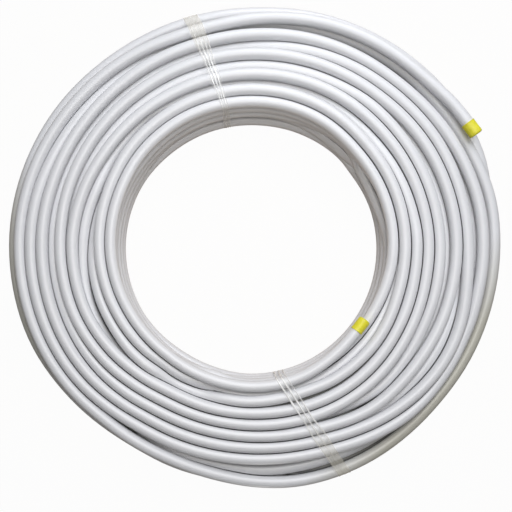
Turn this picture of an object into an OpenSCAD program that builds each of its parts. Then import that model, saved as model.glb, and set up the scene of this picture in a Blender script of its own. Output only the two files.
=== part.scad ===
// Coil of multilayer pipe lying flat: one length of white pipe wound turn on turn around an open eye,
// a blind cap pushed on each pipe end, and two straps of clear tape round the winding.
// The coil's axis is Z, the floor is Z = 0, and the winding runs clockwise from the inner end outwards.

/* [Pipe] */
// Outside diameter of the pipe
pipe_od = 16; // [12:0.5:26]
// Wall of the pipe, open to view only at its two ends
pipe_wall = 2; // [1.5:0.25:3]
// How far neighbouring turns are pressed into each other by the straps
turn_squash = 0.3; // [0.1:0.1:0.6]
// Gap round the two end turns, which lie loose on the winding
end_turn_gap = 0.1; // [0.05:0.05:0.3]

/* [Coil] */
// Clear width of the eye in the middle of the coil
eye_width = 400; // [260:5:600]
// Levels of turns, one above the other
levels = 5; // [3:1:8]
// Turns side by side in every level below the top one
turns_wide = 10; // [6:1:14]
// Length over which the first and last turns slope down into the level below
sink_len = 90; // [40:5:120]

/* [Outer end] */
// Direction of the outer end's tip, seen from above
outer_tip_at = 26.5; // [15:0.5:40]
// Direction in which the outer end leaves the winding
outer_leave_at = 98; // [80:1:110]
// Direction in which the last turn ends on the top level
last_turn_end_at = 300; // [260:1:320]
// Extra bend radius of the outer end, which carries it outwards
outer_spread = 40; // [15:1:60]
// Rise of the outer end's tip above the top level
outer_rise = 2; // [1:0.5:8]

/* [Inner end] */
// Direction of the inner end's tip, seen from above
inner_tip_at = 326; // [315:1:340]
// Direction in which the inner end leaves the winding
inner_leave_at = 200; // [180:1:230]
// Direction in which the first turn ends on the top level, past the inner end's tip
first_turn_end_at = 333; // [330:1:350]
// Loss of bend radius of the inner end, which carries it into the eye
inner_gather = 10; // [5:0.5:14]

/* [End caps] */
// Wall of a cap
cap_wall = 0.8; // [0.5:0.1:2]
// Length of a cap over all
cap_len = 21; // [12:0.5:30]
// Radius of the cap's closed edge
cap_edge = 1.2; // [0.4:0.1:2]
// Clearance between the cap and the pipe
cap_fit = 0.1; // [0.05:0.05:0.3]

/* [Tape straps] */
// Width of the tape
tape_width = 20; // [10:1:40]
// Thickness of the tape, several laps of film
tape_thick = 0.3; // [0.2:0.05:1]
// Clearance between the tape and the turns that it spans
tape_fit = 0.2; // [0.1:0.05:0.4]
// Direction of the rear strap where it crosses the middle of the winding
rear_tape_at = 104; // [100:0.5:120]
// Turn of the rear strap away from the straight line out of the coil's centre
rear_tape_skew = 6.5; // [0:0.5:18]
// Direction of the front strap where it crosses the middle of the winding
front_tape_at = 288.5; // [275:0.5:300]
// Turn of the front strap away from the straight line out of the coil's centre
front_tape_skew = 15; // [0:0.5:18]

/* [Hidden] */
$fn = 96;

pipe_r = pipe_od / 2;
pitch = pipe_od - turn_squash;
loose_pitch = pipe_od + end_turn_gap;
bend_root = 0.5;
bend_ease = 0.05;
tip_len = cap_len - cap_wall + 1;
top_turns = turns_wide - 1;
floor_lift = tape_fit + tape_thick;
// Centre radii and heights of the outermost and innermost turns and of the top two levels.
inner_r = eye_width / 2 + pipe_r;
outer_r = turn_r(turns_wide - 1);
low_z = level_z(0);
next_z = level_z(levels - 2);
top_z = level_z(levels - 1);
// The two end turns lie a little clear of the turns beside and below them, on a seat that reaches a
// little past the middle of the pipe.
end_turn_z = next_z + loose_pitch;
seat_reach = pipe_r / 4;
sink_slope = atan((end_turn_z + pipe_r - next_z) / sink_len);
first_r = turn_r(1) - loose_pitch;
last_r = turn_r(top_turns - 2) + loose_pitch;

outer_bend_r = last_r + outer_spread;
outer_sweep = bend_sweep(outer_bend_r, last_r, outer_leave_at - outer_tip_at) - tip_turn(outer_bend_r);
outer_tilt = bend_tilt(outer_bend_r, outer_sweep, outer_rise);
inner_bend_r = first_r - inner_gather;
inner_sweep = bend_sweep(inner_bend_r, first_r, inner_tip_at - inner_leave_at) - tip_turn(inner_bend_r);
// Middle of the winding, where the straps are placed, and the turn of the coil that a strap covers at
// the eye.
middle_r = (inner_r + outer_r) / 2;
tape_turn = asin(tape_width / inner_r);

// Centre radius of turn i, counted from 0 at the eye.
function turn_r(i) = inner_r + i * pitch;
// Centre height of level j, counted from 0 at the floor.
function level_z(j) = floor_lift + pipe_r + j * pitch;
// Sweep of a bend of radius bend_r that leaves the circle of radius start_r along its tangent and ends
// coil_turn further round the coil's axis.
function bend_sweep(bend_r, start_r, coil_turn) =
    coil_turn - asin((bend_r - start_r) * sin(coil_turn) / bend_r);
// Distance of a bend's centre line from the coil's axis, coil_turn on from where it leaves.
function bend_distance(bend_r, start_r, coil_turn) =
    sqrt(bend_r ^ 2 - ((bend_r - start_r) * sin(coil_turn)) ^ 2) - (bend_r - start_r) * cos(coil_turn);
// Direction of a strap's leading edge at the eye.
function strap_lead(at, skew) = at - asin((middle_r - inner_r) * sin(skew) / inner_r) + tape_turn / 2;
// Turn of a bend that is as long as the straight tip in its place.
function tip_turn(bend_r) = tip_len * 180 / (PI * bend_r);
// Tilt of a bend's plane that lifts its far end by rise.
function bend_tilt(bend_r, sweep, rise) = asin(rise / (bend_r * (1 - cos(sweep))));

module pipe_section() {
    circle(d = pipe_od);
}

// Turned section of the winding: round turns on every side and solid behind them. The outermost and
// innermost top turns are left out here, because those two carry the pipe's ends.
module winding_section() {
    for (i = [0 : turns_wide - 1], j = [0 : levels - 2])
        if (i == 0 || j == 0 || i == turns_wide - 1 || j == levels - 2)
            translate([turn_r(i), level_z(j)]) pipe_section();
    for (i = [1 : top_turns - 2])
        translate([turn_r(i), top_z]) pipe_section();
    polygon([
        [inner_r, low_z],
        [outer_r, low_z],
        [outer_r, next_z],
        [turn_r(top_turns - 2), next_z],
        [turn_r(top_turns - 2), top_z],
        [turn_r(1), top_z],
        [turn_r(1), next_z],
        [inner_r, next_z],
    ]);
}

// Part of an end turn that follows the winding, between two directions, bedded on the turns beside
// and below it. It slopes down into the level below at one of them.
module end_turn(r, beside_r, from, to, sink_at) {
    seat_r = r + sign(r - beside_r) * seat_reach;
    difference() {
        rotate([0, 0, from]) rotate_extrude(angle = to - from) {
            translate([r, end_turn_z]) pipe_section();
            polygon([[seat_r, end_turn_z], [beside_r, top_z], [beside_r, next_z], [seat_r, next_z]]);
        }
        rotate([0, 0, sink_at]) translate([r, 0, next_z]) mirror([0, sink_at == from ? 1 : 0, 0])
            rotate([-sink_slope, 0, 0]) translate([-2 * pipe_od, -2 * sink_len, 0])
                cube([4 * pipe_od, 3 * sink_len, 2 * pipe_od]);
    }
}

// Children on the centre line of a bend that starts at [0, 0] along +Y and curls round +Z to the left,
// after a share of its sweep.
module along_bend(bend_r, tilt, sweep) {
    rotate([0, tilt, 0]) translate([-bend_r, 0, 0]) rotate([0, 0, sweep]) translate([bend_r, 0, 0])
        children();
}

// The bend itself. It runs back into the end turn that it continues, a hair slimmer than it.
module bend(bend_r, tilt, sweep) {
    rotate([0, tilt, 0]) translate([-bend_r, 0, 0]) rotate([0, 0, -bend_root])
        rotate_extrude(angle = sweep + bend_root) translate([bend_r, 0]) circle(r = pipe_r - bend_ease);
}

// A bend with a straight, open tip that the end cap fits, headed along +Y.
module pipe_end(bend_r, tilt, sweep) {
    difference() {
        union() {
            bend(bend_r, tilt, sweep);
            along_bend(bend_r, tilt, sweep) rotate([90, 0, 0]) translate([0, 0, -tip_len])
                cylinder(r = pipe_r - 2 * bend_ease, h = tip_len + 1);
        }
        along_bend(bend_r, tilt, sweep) rotate([90, 0, 0]) translate([0, 0, -tip_len - 1])
            cylinder(d = pipe_od - 2 * pipe_wall, h = tip_len + 1);
    }
}

// Places children where the outer end leaves the winding, headed clockwise.
module at_outer_leave() {
    rotate([0, 0, outer_leave_at]) translate([last_r, 0, end_turn_z]) mirror([0, 1, 0]) children();
}

// Places children where the inner end leaves the winding, headed counter-clockwise.
module at_inner_leave() {
    rotate([0, 0, inner_leave_at]) translate([first_r, 0, end_turn_z]) children();
}

module pipe_coil() {
    color("white") {
        rotate_extrude() winding_section();
        end_turn(last_r, turn_r(top_turns - 2), outer_leave_at, last_turn_end_at, last_turn_end_at);
        at_outer_leave() pipe_end(outer_bend_r, outer_tilt, outer_sweep);
        end_turn(first_r, turn_r(1), first_turn_end_at - 360, inner_leave_at, first_turn_end_at - 360);
        at_inner_leave() pipe_end(inner_bend_r, 0, inner_sweep);
    }
}

// Blind cap pushed over a straight tip that starts at the origin and runs along +Y.
module end_cap() {
    cap_r = pipe_r + cap_fit + cap_wall;
    color("gold")
        translate([0, tip_len + cap_wall + cap_fit, 0]) rotate([90, 0, 0])
            rotate_extrude() difference() {
                union() {
                    square([cap_r - cap_edge, cap_len]);
                    translate([0, cap_edge]) square([cap_r, cap_len - cap_edge]);
                    translate([cap_r - cap_edge, cap_edge]) circle(r = cap_edge);
                }
                translate([0, cap_wall]) square([pipe_r + cap_fit, cap_len]);
            }
}

module outer_end_cap() {
    at_outer_leave() along_bend(outer_bend_r, outer_tilt, outer_sweep) end_cap();
}

module inner_end_cap() {
    at_inner_leave() along_bend(inner_bend_r, 0, inner_sweep) end_cap();
}

// Outline at a distance grow outside the round corners of a chain of equal circles, given as the
// centres of the corner turns, counter-clockwise.
module taut_outline(corners, grow) {
    polygon(corners);
    for (k = [0 : len(corners) - 1]) {
        a = corners[k];
        b = corners[(k + 1) % len(corners)];
        out = grow * [b.y - a.y, a.x - b.x] / norm(b - a);
        polygon([a, a + out, b + out, b]);
        translate(a) circle(r = grow);
    }
}

// Strap of tape drawn tight round the winding's section, over an innermost top turn at top_inner_r.
module tape_strap(at, skew, top_inner_r) {
    inside = pipe_r + tape_fit;
    reach = 4 * tape_turn;
    corners = [
        [inner_r, low_z], [outer_r, low_z], [outer_r, next_z], [last_r, end_turn_z], [top_inner_r, end_turn_z],
    ];
    color("ghostwhite") intersection() {
        rotate([0, 0, at - reach]) rotate_extrude(angle = 2 * reach) difference() {
            taut_outline(corners, inside + tape_thick);
            taut_outline(corners, inside);
        }
        rotate([0, 0, at]) translate([middle_r, 0, 0]) rotate([0, 0, skew])
            translate([-middle_r, -tape_width / 2, -1])
                cube([2 * middle_r, tape_width, top_z + 2 * pipe_od]);
    }
}

module rear_tape_strap() {
    tape_strap(rear_tape_at, rear_tape_skew, first_r);
}

module front_tape_strap() {
    lead = strap_lead(front_tape_at, front_tape_skew);
    tape_strap(front_tape_at, front_tape_skew, bend_distance(inner_bend_r, first_r, lead - inner_leave_at));
}

pipe_coil();
outer_end_cap();
inner_end_cap();
rear_tape_strap();
front_tape_strap();
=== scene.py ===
"""Coil of white multilayer pipe with yellow end caps and clear tape straps."""

from __future__ import annotations

import logging
import math
from dataclasses import dataclass, field, replace
from enum import Enum

import bmesh
import bpy
import numpy as np
from mathutils import Matrix, Vector

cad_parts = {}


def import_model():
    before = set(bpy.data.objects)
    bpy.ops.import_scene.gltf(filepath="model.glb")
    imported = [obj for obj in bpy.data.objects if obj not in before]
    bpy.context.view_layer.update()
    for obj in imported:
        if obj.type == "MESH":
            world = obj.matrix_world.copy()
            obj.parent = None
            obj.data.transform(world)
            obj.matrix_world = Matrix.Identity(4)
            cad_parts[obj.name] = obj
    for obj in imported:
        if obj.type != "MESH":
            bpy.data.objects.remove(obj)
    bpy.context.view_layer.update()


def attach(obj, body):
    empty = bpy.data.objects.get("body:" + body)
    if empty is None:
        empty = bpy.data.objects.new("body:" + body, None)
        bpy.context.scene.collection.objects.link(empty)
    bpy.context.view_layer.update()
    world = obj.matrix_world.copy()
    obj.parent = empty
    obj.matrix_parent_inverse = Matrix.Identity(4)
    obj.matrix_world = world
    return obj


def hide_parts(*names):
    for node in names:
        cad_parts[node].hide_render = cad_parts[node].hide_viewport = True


LOG = logging.getLogger("pipe_coil")
BODY = "root"
MM = 0.001
WHOLE_TURN = 360.0

Colour = tuple[float, float, float, float]
Place = tuple[float, float, float]
Span = tuple[float, float]


class Shelf(Enum):
    """How freely a run gives way when the turns settle against each other."""

    SHOWN = 0
    WALL = 1
    BED = 2


@dataclass(frozen=True)
class Lay:
    """Where the middle of the pipe lies at one direction round the coil.

    direction is in degrees, counted on past 360 where a run goes round more than once; radius is
    from the coil's axis and depth is below the middle of the top turns, both in millimetres.
    """

    direction: float
    radius: float
    depth: float = 0.0


def lays(*rows: tuple[float, ...], turn: int = 0) -> tuple[Lay, ...]:
    """Lays from plain rows.

    Args:
        rows: (direction, radius) or (direction, radius, depth) of each lay.
        turn: whole turns added to every direction.

    Returns:
        The lays, in the order given.
    """
    return tuple(Lay(row[0] + WHOLE_TURN * turn, *row[1:]) for row in rows)


@dataclass(frozen=True)
class Run:
    """One unbroken stretch of pipe, which may go round the coil several times."""

    name: str
    route: tuple[Lay, ...]
    shelf: Shelf = Shelf.SHOWN
    ring: bool = False

    def knots(self) -> np.ndarray:
        """Rows of direction, radius and depth, carried on past both ends of a ring."""
        rows = [(lay.direction, lay.radius, lay.depth) for lay in self.route]
        if self.ring:
            head = [(d + WHOLE_TURN, r, z) for d, r, z in rows[:3]]
            tail = [(d - WHOLE_TURN, r, z) for d, r, z in rows[-3:]]
            rows = tail + rows + head
        return np.array(rows)

    def span(self) -> Span:
        """First and last direction of the run, in degrees."""
        if self.ring:
            return 0.0, WHOLE_TURN
        return self.route[0].direction, self.route[-1].direction

    def at(self, directions: np.ndarray) -> np.ndarray:
        """Radius and depth at each direction, on a smooth line that never overshoots its lays.

        Args:
            directions: directions in degrees, inside the run's span.

        Returns:
            An array of radius and depth rows, in millimetres.
        """
        knots = self.knots()
        x, values = knots[:, 0], knots[:, 1:]
        step = np.diff(x)[:, None]
        slope = np.diff(values, axis=0) / step
        tangent = np.empty_like(values)
        tangent[0], tangent[-1] = slope[0], slope[-1]
        before, after = slope[:-1], slope[1:]
        mean = (before * step[1:] + after * step[:-1]) / (step[1:] + step[:-1])
        limit = 3.0 * np.minimum(np.abs(before), np.abs(after))
        tangent[1:-1] = np.where(before * after > 0.0, np.clip(mean, -limit, limit), 0.0)
        k = np.clip(np.searchsorted(x, directions, side="right") - 1, 0, len(x) - 2)
        width = step[k]
        t = (directions - x[k])[:, None] / width
        return (
            (2 * t**3 - 3 * t**2 + 1) * values[k]
            + (t**3 - 2 * t**2 + t) * width * tangent[k]
            + (3 * t**2 - 2 * t**3) * values[k + 1]
            + (t**3 - t**2) * width * tangent[k + 1]
        )


@dataclass(frozen=True)
class Course:
    """Settled centre line of one run, in metres; a ring doesn't repeat its first point."""

    run: Run
    points: np.ndarray

    def closed(self) -> np.ndarray:
        """The points, with the first one again at the end of a ring."""
        return np.concatenate([self.points, self.points[:1]]) if self.run.ring else self.points

    def eased(self) -> Course:
        """The course with the small unevenness of settling taken out of its line."""
        points = self.points
        for _ in range(2):
            if self.run.ring:
                points = 0.25 * np.roll(points, 1, 0) + 0.5 * points + 0.25 * np.roll(points, -1, 0)
            else:
                inner = 0.25 * points[:-2] + 0.5 * points[1:-1] + 0.25 * points[2:]
                points = np.concatenate([points[:1], inner, points[-1:]])
        return replace(self, points=points)

    def tipped(self, length: float, at_start: bool) -> Course:
        """The course with a straight tip, which a cap fits, added at one end.

        Args:
            length: length of the tip, in millimetres.
            at_start: whether it goes before the first point.

        Returns:
            The longer course.
        """
        points = self.points[::-1] if at_start else self.points
        heading = points[-1] - points[-2]
        heading /= np.linalg.norm(heading)
        steps = np.linspace(0.0, length * MM, 4)[1:, None]
        points = np.concatenate([points, points[-1] + steps * heading])
        return replace(self, points=points[::-1] if at_start else points)


# From the outer pipe end, seven times round and inwards over the top level.
OUTER_RUN = (
    lays(
        (30, 352.2, -5.5), (33, 351.8, -4.2), (36, 350.2, -3.1), (40, 346.8, -2),
        (45, 344.4, -1.4), (50, 342.8, -1), (60, 340, -1), (70, 336.5), (80, 331.5), (90, 326),
        (100, 320.5), (110, 319.5), (120, 322.5), (140, 327.5), (160, 332.5), (180, 336.5),
        (200, 336), (210, 335.5), (220, 334), (230, 330.5), (240, 330.5), (250, 332.5, 2),
        (260, 337.5, 5), (270, 345, 8), (280, 352, 11), (290, 354.5, 13), (300, 355, 14),
        (310, 354, 15), (320, 353, 15), (330, 354.5, 15), (345, 356, 15),
    )
    + lays(
        (0, 357.5, 15), (10, 358, 15), (20, 353, 15), (30, 347.5, 15), (40, 344.5, 15),
        (50, 341.5, 15), (60, 338.5, 15), (75, 333.5, 15), (90, 327, 14.5), (105, 319, 14),
        (120, 316.5, 11), (140, 316.5, 7), (150, 318, 4.5), (160, 319, 2), (170, 320.5),
        (180, 321), (200, 321.5), (210, 320), (220, 317.5), (230, 312.5), (240, 309), (255, 308.5),
        (270, 309.5), (280, 311.5), (290, 315), (300, 323), (310, 330), (320, 334.5, 5),
        (330, 336, 7), (340, 334, 7), (350, 332, 2),
        turn=1,
    )
    + lays(
        (0, 332), (10, 331), (20, 327), (30, 322.5), (40, 317), (50, 312.5), (60, 310.5),
        (75, 307.5), (90, 303), (105, 300), (120, 299.5), (140, 300), (160, 302.5), (180, 305.5),
        (200, 306), (210, 305), (220, 301.5), (230, 296), (240, 292), (255, 292), (270, 293),
        (280, 295), (290, 298.5), (300, 306), (310, 314), (320, 320), (330, 322.5), (340, 319.5),
        (350, 313),
        turn=2,
    )
    + lays(
        (0, 310), (15, 307.5), (30, 304.5), (40, 300), (50, 296.5), (60, 294.5, 1), (75, 293.5, 4),
        (90, 294, 8), (105, 293, 10), (120, 292.5, 10), (150, 294, 10.5), (170, 295.5, 9),
        (190, 295, 8), (200, 294, 7), (210, 291, 4), (220, 287, 3), (230, 280), (240, 275.5),
        (255, 275), (270, 276.5), (280, 278.5), (290, 281), (300, 288.5), (310, 292.5), (320, 292),
        (340, 293.5),
        turn=3,
    )
    + lays(
        (0, 293.5), (20, 290), (30, 287.5), (40, 284), (50, 280.5), (60, 278.5), (75, 276.5),
        (90, 275.5), (120, 275), (150, 277), (170, 278.5), (190, 278), (200, 277), (210, 274),
        (220, 270), (230, 264), (240, 259), (255, 258.5), (270, 260), (285, 261.5), (300, 262),
        (310, 261), (320, 259.5), (330, 257), (340, 255.5), (350, 253.5),
        turn=4,
    )
    + lays(
        (0, 253), (20, 250), (30, 248.5), (45, 247), (60, 247.5), (90, 246.5), (120, 247),
        (140, 249.5), (150, 251.5), (160, 255), (170, 258.5), (180, 261), (200, 260.5),
        (210, 257.5), (220, 253), (230, 247.5), (240, 242.5), (255, 242), (270, 243), (285, 244.5),
        (300, 246), (310, 246), (320, 244), (330, 241.5), (340, 239), (350, 237),
        turn=5,
    )
    + lays(
        (0, 236.5), (10, 236.5, 3), (20, 236, 4), (30, 236, 5.5), (40, 236.5, 7), (50, 237.5, 8.5),
        (60, 239.5, 10), (75, 240.5, 11), (90, 240.5, 11.5), (120, 241, 11.5), (140, 241.5, 10.5),
        (150, 243, 10), (160, 244.5, 8), (170, 248, 8.5), (180, 250.5, 9), (190, 254, 13.5),
        (200, 256.5, 15), (210, 256, 15.8), (220, 254, 16), (230, 251, 16), (240, 246, 16.5),
        (250, 241.5, 17), (260, 239.5, 18),
        turn=6,
    )
)

# Comes up on the left, goes once round near the eye and sinks again in front.
CROSSING_RUN = lays(
    (125, 237.5, 15), (150, 235, 15), (160, 235.5, 14.5), (170, 235.5, 14), (180, 236, 13),
    (190, 235.5, 10), (200, 235.5, 6), (210, 233.7, 4), (220, 232.8, 2), (230, 231.5, 2),
    (240, 232, 8), (250, 232, 9.5), (260, 229, 5), (270, 226.5), (280, 225), (290, 224.5),
    (300, 226.5), (320, 226), (330, 224), (340, 221), (350, 220),
) + lays(
    (0, 219.5), (20, 219), (40, 218.5), (50, 220), (60, 222), (75, 223.5), (90, 224), (120, 225),
    (140, 225), (155, 223), (180, 222), (195, 220.5), (210, 218.5), (220, 218, 1), (230, 217.5, 5),
    (240, 218, 10), (250, 218.5, 12), (260, 218.5, 13.5), (270, 219, 14.5), (280, 218, 15),
    (290, 217.5, 15), (300, 216.5, 14.5), (310, 216.5, 13.5), (320, 217, 14), (330, 217.5, 14.5),
    (340, 218, 15.5), (360, 218.5, 17),
    turn=1,
)

# Climbs along the eye's wall to the top level, as far as the inner pipe end.
INNER_RUN = lays(
    (-5, 226, 26), (5, 221, 25), (15, 215, 24), (25, 210.5, 23), (35, 208.5, 22), (50, 208, 21),
    (75, 208.4, 20.5), (100, 208.6, 20), (120, 208.4, 19), (140, 208, 18), (160, 207.8, 16.3),
    (180, 207.6, 15.7), (220, 208, 15.7), (250, 208.4, 15.7), (280, 208.2, 15.7),
    (300, 207.5, 15.5), (320, 204.5, 14), (330, 203, 12), (340, 203, 10), (350, 204, 8),
) + lays(
    (0, 205.5, 6), (20, 204.5, 5), (35, 204.5, 5), (50, 206.5, 5), (60, 208, 4), (75, 209.5, 4),
    (90, 210, 4), (120, 210.5, 3), (140, 210, 3), (155, 207.5, 1), (170, 206.5), (190, 205),
    (210, 203), (230, 201.5), (245, 202.5), (260, 204), (270, 205), (280, 204.5), (290, 203),
    (300, 199.5), (310, 196.5), (320, 194),
    turn=1,
)

# Comes up in front, goes round by the right and the rear, and sinks on the left.
RISING_RUN = lays(
    (265, 270, 18), (280, 271, 19), (295, 273, 18.5), (303, 276.5, 15.5), (312, 280, 12),
    (325, 277, 8), (335, 273.5, 3.5), (345, 271.5, 0.5), (350, 270.5),
) + lays(
    (0, 269.5), (15, 266.5), (30, 264.5), (45, 263.5), (60, 265, 3.5), (75, 264.5, 5),
    (90, 264.5, 6.5), (120, 265, 8), (150, 268.5, 9.5), (160, 271, 11), (170, 273.5, 12.5),
    (180, 274.5, 14), (200, 274, 15),
    turn=1,
)

# Short stretches from the level below that show in the gaps of the top one.
MIDDLE_SLIVER = lays(
    (322, 291, 21), (334, 290, 18), (344, 289, 15.5), (352, 288, 13.5), (360, 287, 12.5),
    (380, 283.5, 11), (400, 280.5, 12.5), (420, 279, 15),
)
FRONT_SLIVER = lays(
    (295, 302, 16), (310, 309, 12), (320, 310, 8.5), (330, 311, 6.5), (340, 311, 9),
    (350, 310, 13), (365, 309, 15),
)
OUTER_SLIVER = lays(
    (238, 320, 23), (246, 324.5, 19.5), (254, 327, 17.3), (262, 329.5, 15.7), (270, 331.5, 14.5),
    (280, 332, 14), (290, 332.5, 14), (300, 334, 15), (315, 336, 16.5), (330, 338, 19.5),
    (345, 340, 24),
)
RIGHT_SLIVER = lays(
    (340, 330.5, 16), (350, 329.5, 13.5), (360, 327.5, 11.5), (370, 326.5, 11.5), (380, 324, 12.5),
    (390, 321.5, 13.5), (405, 318.5, 16),
)

# An outermost buried turn: flatter behind and in front on the left, bulging between them.
BULGE = lays(
    (0, 358.5), (30, 359), (60, 352), (90, 343.5), (120, 342.5), (150, 348), (180, 352),
    (200, 351.5), (220, 344), (240, 338), (255, 341.5), (270, 349), (300, 356), (330, 357.5),
)


@dataclass(frozen=True)
class Stretch:
    """The part of a run that lies within one turn of the coil.

    stations are the places round the coil that it passes, and spots its radius and depth there.
    """

    run: Run
    stations: np.ndarray
    spots: np.ndarray


@dataclass(frozen=True)
class Winding:
    """The pipe's centre lines, settled against each other as the straps hold them.

    Sizes are in millimetres. beside and pressed are how near the middles of two turns may come, in
    view and buried. A turn at the top gives way least, and one loose_depth below it freely. A
    stretch has the height absent_z, far below the coil, at the stations that it doesn't pass.
    """

    pipe_od: float = 16.0
    beside: float = 16.15
    pressed: float = 15.6
    top_z: float = 71.3
    level: float = 15.7
    levels_below: int = 4
    sunk: float = 6.0
    eye_r: float = 208.0
    eye_levels: tuple[int, ...] = (2, 3)
    eye_waver: Place = (0.6, -0.4, 0.4)
    bed_turns: int = 9
    foot_turns: int = 10
    foot_stagger: float = 1.0
    stations: int = 144
    rounds: int = 40
    least_give: float = 0.12
    loose_depth: float = 8.0
    absent_z: float = -1e4
    absent_gap: float = 100.0
    nearest: float = 1e-6
    outer_tip: float = 23.0
    inner_tip: float = 20.3

    @property
    def pipe_r(self) -> float:
        """Radius of the pipe, in metres."""
        return self.pipe_od / 2 * MM

    def runs(self) -> tuple[Run, ...]:
        """Every run of the coil: those in view, then the buried ones."""
        shown = (
            Run("outer_run", OUTER_RUN),
            Run("crossing_run", CROSSING_RUN),
            Run("inner_run", INNER_RUN),
            Run("rising_run", RISING_RUN),
            Run("middle_sliver", MIDDLE_SLIVER),
            Run("front_sliver", FRONT_SLIVER),
            Run("right_sliver", RIGHT_SLIVER),
            Run("outer_sliver", OUTER_SLIVER, Shelf.WALL),
        )
        return shown + tuple(self.wall() + self.bed() + self.foot())

    def wall(self) -> list[Run]:
        """Outermost and innermost turns below the top level."""
        level = self.level
        second = lays(
            (0, 359, 31), (10, 361, 28), (20, 362, 22), (30, 360.5, 18), (40, 359, 16),
            (50, 356, level), (60, 352, level), (90, 343.5, level), (120, 342.5, level),
            (150, 348, level), (180, 352, level), (200, 351.5, level), (220, 344, level),
            (240, 338, level), (250, 341, 17), (260, 344, 22), (270, 349, 27), (285, 355, 30),
            (300, 356, 31), (330, 358, 31),
        )
        third = lays(
            (0, 343, 33), (25, 345, 32), (45, 352, 31.5), (60, 351, 31.5), (90, 343, 31.5),
            (120, 342, 31.5), (150, 347, 31.5), (180, 351, 31.5), (200, 350.5, 31.5),
            (220, 343.5, 31.5), (240, 337.5, 31.5), (255, 335, 33), (280, 336, 34), (320, 341, 34),
        )
        fourth = tuple(replace(lay, depth=3 * level) for lay in BULGE)
        routes = {"outer_second": second, "outer_third": third, "outer_fourth": fourth}
        rear, left, front = (self.eye_r + waver for waver in self.eye_waver)
        for step in self.eye_levels:
            depth = step * level
            routes[f"eye_{step}"] = lays(
                (0, self.eye_r, depth), (90, rear, depth), (180, left, depth), (250, front, depth))
        return [Run(name, route, Shelf.WALL, ring=True) for name, route in routes.items()]

    def level_turns(self, name: str, count: int, depths: Span, shelf: Shelf) -> list[Run]:
        """Turns spread evenly from the eye to the outside of the winding.

        Args:
            name: start of each run's name.
            count: how many turns.
            depths: depth of the even and of the odd turns.
            shelf: how freely they give way.

        Returns:
            The runs, from the eye outwards.
        """
        found = []
        for i in range(count):
            share = i / (count - 1)
            route = tuple(
                Lay(lay.direction, self.eye_r + share * (lay.radius - self.eye_r), depths[i % 2])
                for lay in BULGE
            )
            found.append(Run(f"{name}_{i}", route, shelf, ring=True))
        return found

    def bed(self) -> list[Run]:
        """Turns of the second level between its walls, which show only in the top one's gaps."""
        depth = self.level + self.sunk
        return self.level_turns("bed", self.bed_turns, (depth, depth), Shelf.BED)[1:-1]

    def foot(self) -> list[Run]:
        """The bottom level, which the coil lies on."""
        lowest = self.levels_below * self.level
        depths = (lowest, lowest - self.foot_stagger)
        return self.level_turns("foot", self.foot_turns, depths, Shelf.WALL)

    def stretches(self) -> list[Stretch]:
        """Every run cut where it passes direction 0, so that turns can be compared by station."""
        step = WHOLE_TURN / self.stations
        found = []
        for run in self.runs():
            first, last = run.span()
            count = np.arange(round(first / step), round(last / step) + (0 if run.ring else 1))
            spots = run.at(count * step)
            for turn in np.unique(count // self.stations):
                chosen = count // self.stations == turn
                found.append(Stretch(run, count[chosen] % self.stations, spots[chosen]))
        return found

    def shares(self, place: np.ndarray, rank: np.ndarray) -> np.ndarray:
        """How much of its overlap with another turn each turn takes up by moving.

        Args:
            place: radius and height of every stretch at every station.
            rank: how freely each stretch gives way.

        Returns:
            Shares from 0 to 1, by station, the turn that moves and the turn that it meets.
        """
        sunken = np.clip((self.top_z - place[:, :, 1]) / self.loose_depth, 0.0, 1.0)
        gives = self.least_give + (1.0 - self.least_give) * sunken
        share = gives[:, :, None] / (gives[:, :, None] + gives[:, None, :])
        freer, firmer = rank[:, None] > rank[None, :], rank[:, None] < rank[None, :]
        share = np.where(freer, 1.0, np.where(firmer, 0.0, share))
        np.einsum("sii->si", share)[:] = 0.0
        return share

    def settled(self) -> dict[str, Course]:
        """Centre line of every run, once no two turns lie too close.

        Returns:
            The courses by their runs' names.
        """
        parts = self.stretches()
        place = np.zeros((self.stations, len(parts), 2))
        place[:, :, 1] = self.absent_z - self.absent_gap * np.arange(len(parts))
        for i, part in enumerate(parts):
            place[part.stations, i, 0] = part.spots[:, 0]
            place[part.stations, i, 1] = self.top_z - part.spots[:, 1]
        present = place[:, :, 1] > self.absent_z / 10
        rank = np.array([part.run.shelf.value for part in parts])
        share = self.shares(place, rank)
        both_shown = (rank[:, None] + rank[None, :]) == 0
        needed = np.where(both_shown, self.beside, self.pressed)[None]
        floor = self.top_z - self.levels_below * self.level
        roof = np.where(rank == Shelf.BED.value, self.top_z - self.level - self.sunk, math.inf)
        for _ in range(self.rounds):
            apart = place[:, :, None, :] - place[:, None, :, :]
            distance = np.maximum(np.linalg.norm(apart, axis=3), self.nearest)
            push = np.clip(needed - distance, 0.0, None) * share
            place = place + 0.5 * (apart / distance[..., None] * push[..., None]).sum(axis=2)
            held = np.clip(place[:, :, 1], floor, roof)
            place[:, :, 1] = np.where(present, held, place[:, :, 1])
        return self.gather(parts, place)

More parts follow.
